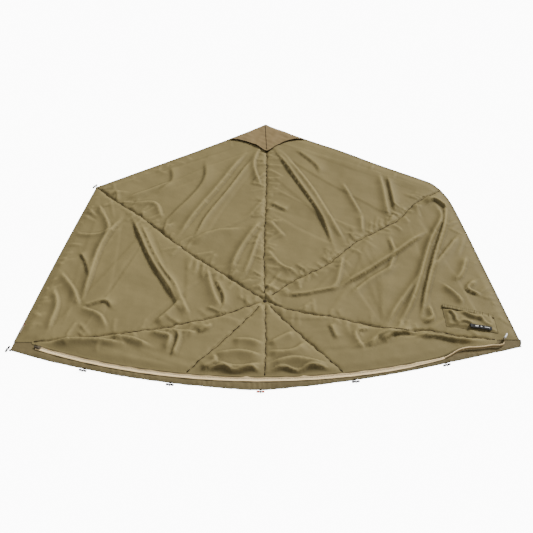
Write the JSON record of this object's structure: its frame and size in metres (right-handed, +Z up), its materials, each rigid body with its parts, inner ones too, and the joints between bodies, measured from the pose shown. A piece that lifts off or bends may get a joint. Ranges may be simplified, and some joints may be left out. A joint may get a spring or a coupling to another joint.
{
  "type": "umbrella field blind skin",
  "caption": "Fabric skin of a folding umbrella blind laid out flat: gores about a hub, folded-back hood, front zip, ground skirt, patch pocket and toggles along the hem.",
  "frame": {"origin": "on the ground under the middle of the outline, as the skin lies flat", "axes": "+X across the skin towards the side with the pocket, +Y from the front hem to the hooded apex, +Z up"},
  "size_m": [2.6246, 2.2356, 0.0355],
  "materials": {
    "cloth": "coated woven cloth, olive tan, matt",
    "cloth_reverse": "reverse of the cloth, a little pinker, matt",
    "skirt_cloth": "coated woven cloth, browner, matt",
    "edging": "folded and stitched hem",
    "seam_tape": "tape under the seams",
    "zip_tape": "woven zip tape, cream",
    "zip_teeth": "moulded coil, cream",
    "zip_metal": "dark lacquered slider",
    "label": "woven patch, black with pale bars",
    "tag": "care tag, cream",
    "tag_stripe": "end of the tag, dark red",
    "elastic": "braided elastic, black",
    "toggle_black": "moulded toggle, black",
    "toggle_red": "moulded toggle, red"
  },
  "bodies": {
    "skin": {"gore_top_left": "cloth", "gore_left": "cloth", "gore_lower_left": "cloth", "gore_front_left": "cloth", "seam_shoulder_left": "seam_tape", "seam_side_left": "seam_tape", "seam_front_left": "seam_tape", "edge_top_left": "edging", "hood_fold_left": "cloth_reverse", "edge_left": "edging", "skirt_left": "skirt_cloth", "gore_top_right": "cloth", "gore_right": "cloth", "gore_lower_right": "cloth", "gore_front_right": "cloth", "seam_shoulder_right": "seam_tape", "seam_side_right": "seam_tape", "seam_front_right": "seam_tape", "edge_top_right": "edging", "hood_fold_right": "cloth_reverse", "edge_right": "edging", "skirt_right": "skirt_cloth", "seam_apex": "seam_tape", "seam_front": "seam_tape", "hub_patch": "seam_tape", "hood_crown": "cloth_reverse", "hood_seam": "cloth_reverse", "zip_tape_upper": "zip_tape", "zip_tape_lower": "zip_tape", "zip_chain": "zip_teeth", "zip_bottom_stop": "zip_teeth", "zip_tail": "zip_tape", "zip_tail_end": "zip_teeth", "pocket_panel": "cloth", "pocket_gusset": "cloth", "pocket_label": "label", "toggle_feet": "elastic"},
    "zip_slider": {"zip_slider": "zip_metal", "slider_bridge": "zip_metal"},
    "zip_pull": {"zip_pull": "zip_metal"},
    "hood_lip": {"hood_lip": "cloth_reverse", "hood_mouth_left": "edging", "hood_mouth_right": "edging"},
    "pocket_mouth": {"pocket_mouth": "cloth"},
    "size_tag": {"size_tag": "tag", "size_tag_stripe": "tag_stripe"},
    "elastic_front_1": {"toggle_front_1_elastic": "elastic"},
    "toggle_front_1": {"toggle_front_1_bar": "toggle_black"},
    "elastic_front_2": {"toggle_front_2_elastic": "elastic"},
    "toggle_front_2": {"toggle_front_2_bar": "toggle_black"},
    "elastic_front_3": {"toggle_front_3_elastic": "elastic"},
    "toggle_front_3": {"toggle_front_3_bar": "toggle_red"},
    "elastic_front_4": {"toggle_front_4_elastic": "elastic"},
    "toggle_front_4": {"toggle_front_4_bar": "toggle_black"},
    "elastic_front_5": {"toggle_front_5_elastic": "elastic"},
    "toggle_front_5": {"toggle_front_5_bar": "toggle_black"},
    "elastic_corner": {"toggle_corner_elastic": "elastic"},
    "toggle_corner": {"toggle_corner_bar": "toggle_black"},
    "elastic_shoulder": {"toggle_shoulder_elastic": "elastic"},
    "toggle_shoulder": {"toggle_shoulder_bar": "toggle_black"}
  },
  "joints": [
    {"name": "zip_travel", "type": "hinge", "parent": "skin", "child": "zip_slider", "pos_m": [-0.02, 2.326, 0], "axis": [0, 0, 1], "range_deg": [0, 34.8]},
    {"name": "pull_swing", "type": "hinge", "parent": "zip_slider", "child": "zip_pull", "pos_m": [-1.146, -0.83759, 0.011], "axis": [0.3353, 0.9421, 0], "range_deg": [0, 160]},
    {"name": "hood_lip_lift", "type": "hinge", "parent": "skin", "child": "hood_lip", "pos_m": [0, 0.957, 0.0235], "axis": [-1, 0, 0], "range_deg": [0, 75]},
    {"name": "pocket_mouth_lift", "type": "hinge", "parent": "skin", "child": "pocket_mouth", "pos_m": [1.0735, -0.612, 0.0235], "axis": [0.9555, -0.2951, 0], "range_deg": [0, 40]},
    {"name": "size_tag_swing", "type": "hinge", "parent": "skin", "child": "size_tag", "pos_m": [-1.27318, -0.73773, 0.0046], "axis": [-0.1869, -0.9824, 0], "range_deg": [0, 110]},
    {"name": "toggle_front_1_swing", "type": "hinge", "parent": "skin", "child": "elastic_front_1", "pos_m": [-0.89765, -0.97218, 0.0062], "axis": [-0.9664, 0.2572, 0], "range_deg": [0, 90]},
    {"name": "toggle_front_1_turn", "type": "hinge", "parent": "elastic_front_1", "child": "toggle_front_1", "pos_m": [-0.8997, -0.97992, 0.0062], "axis": [-0.2572, -0.9664, 0], "range_deg": [0, 90]},
    {"name": "toggle_front_2_swing", "type": "hinge", "parent": "skin", "child": "elastic_front_2", "pos_m": [-0.46083, -1.05835, 0.0062], "axis": [-0.9916, 0.1292, 0], "range_deg": [0, 90]},
    {"name": "toggle_front_2_turn", "type": "hinge", "parent": "elastic_front_2", "child": "toggle_front_2", "pos_m": [-0.46186, -1.06628, 0.0062], "axis": [-0.1292, -0.9916, 0], "range_deg": [0, 90]},
    {"name": "toggle_front_3_swing", "type": "hinge", "parent": "skin", "child": "elastic_front_3", "pos_m": [-0.02, -1.1004, 0.0062], "axis": [-1, 0, 0], "range_deg": [0, 90]},
    {"name": "toggle_front_3_turn", "type": "hinge", "parent": "elastic_front_3", "child": "toggle_front_3", "pos_m": [-0.02, -1.1084, 0.0062], "axis": [0, -1, 0], "range_deg": [0, 90]},
    {"name": "toggle_front_4_swing", "type": "hinge", "parent": "skin", "child": "elastic_front_4", "pos_m": [0.44387, -1.04034, 0.0062], "axis": [-0.9906, -0.1365, 0], "range_deg": [0, 90]},
    {"name": "toggle_front_4_turn", "type": "hinge", "parent": "elastic_front_4", "child": "toggle_front_4", "pos_m": [0.44497, -1.04827, 0.0062], "axis": [0.1365, -0.9906, 0], "range_deg": [0, 90]},
    {"name": "toggle_front_5_swing", "type": "hinge", "parent": "skin", "child": "elastic_front_5", "pos_m": [0.90374, -0.93816, 0.0062], "axis": [-0.9622, -0.2723, 0], "range_deg": [0, 90]},
    {"name": "toggle_front_5_turn", "type": "hinge", "parent": "elastic_front_5", "child": "toggle_front_5", "pos_m": [0.90592, -0.94586, 0.0062], "axis": [0.2723, -0.9622, 0], "range_deg": [0, 90]},
    {"name": "toggle_corner_swing", "type": "hinge", "parent": "skin", "child": "elastic_corner", "pos_m": [-1.29501, -0.84766, 0.0062], "axis": [0.342, 0.9397, 0], "range_deg": [0, 90]},
    {"name": "toggle_corner_turn", "type": "hinge", "parent": "elastic_corner", "child": "toggle_corner", "pos_m": [-1.30253, -0.84493, 0.0062], "axis": [-0.9397, 0.342, 0], "range_deg": [0, 90]},
    {"name": "toggle_shoulder_swing", "type": "hinge", "parent": "skin", "child": "elastic_shoulder", "pos_m": [-1.05537, 0.44949, 0.0062], "axis": [0.5446, 0.8387, 0], "range_deg": [0, 90]},
    {"name": "toggle_shoulder_turn", "type": "hinge", "parent": "elastic_shoulder", "child": "toggle_shoulder", "pos_m": [-1.06208, 0.45384, 0.0062], "axis": [-0.8387, 0.5446, 0], "range_deg": [0, 90]}
  ]
}
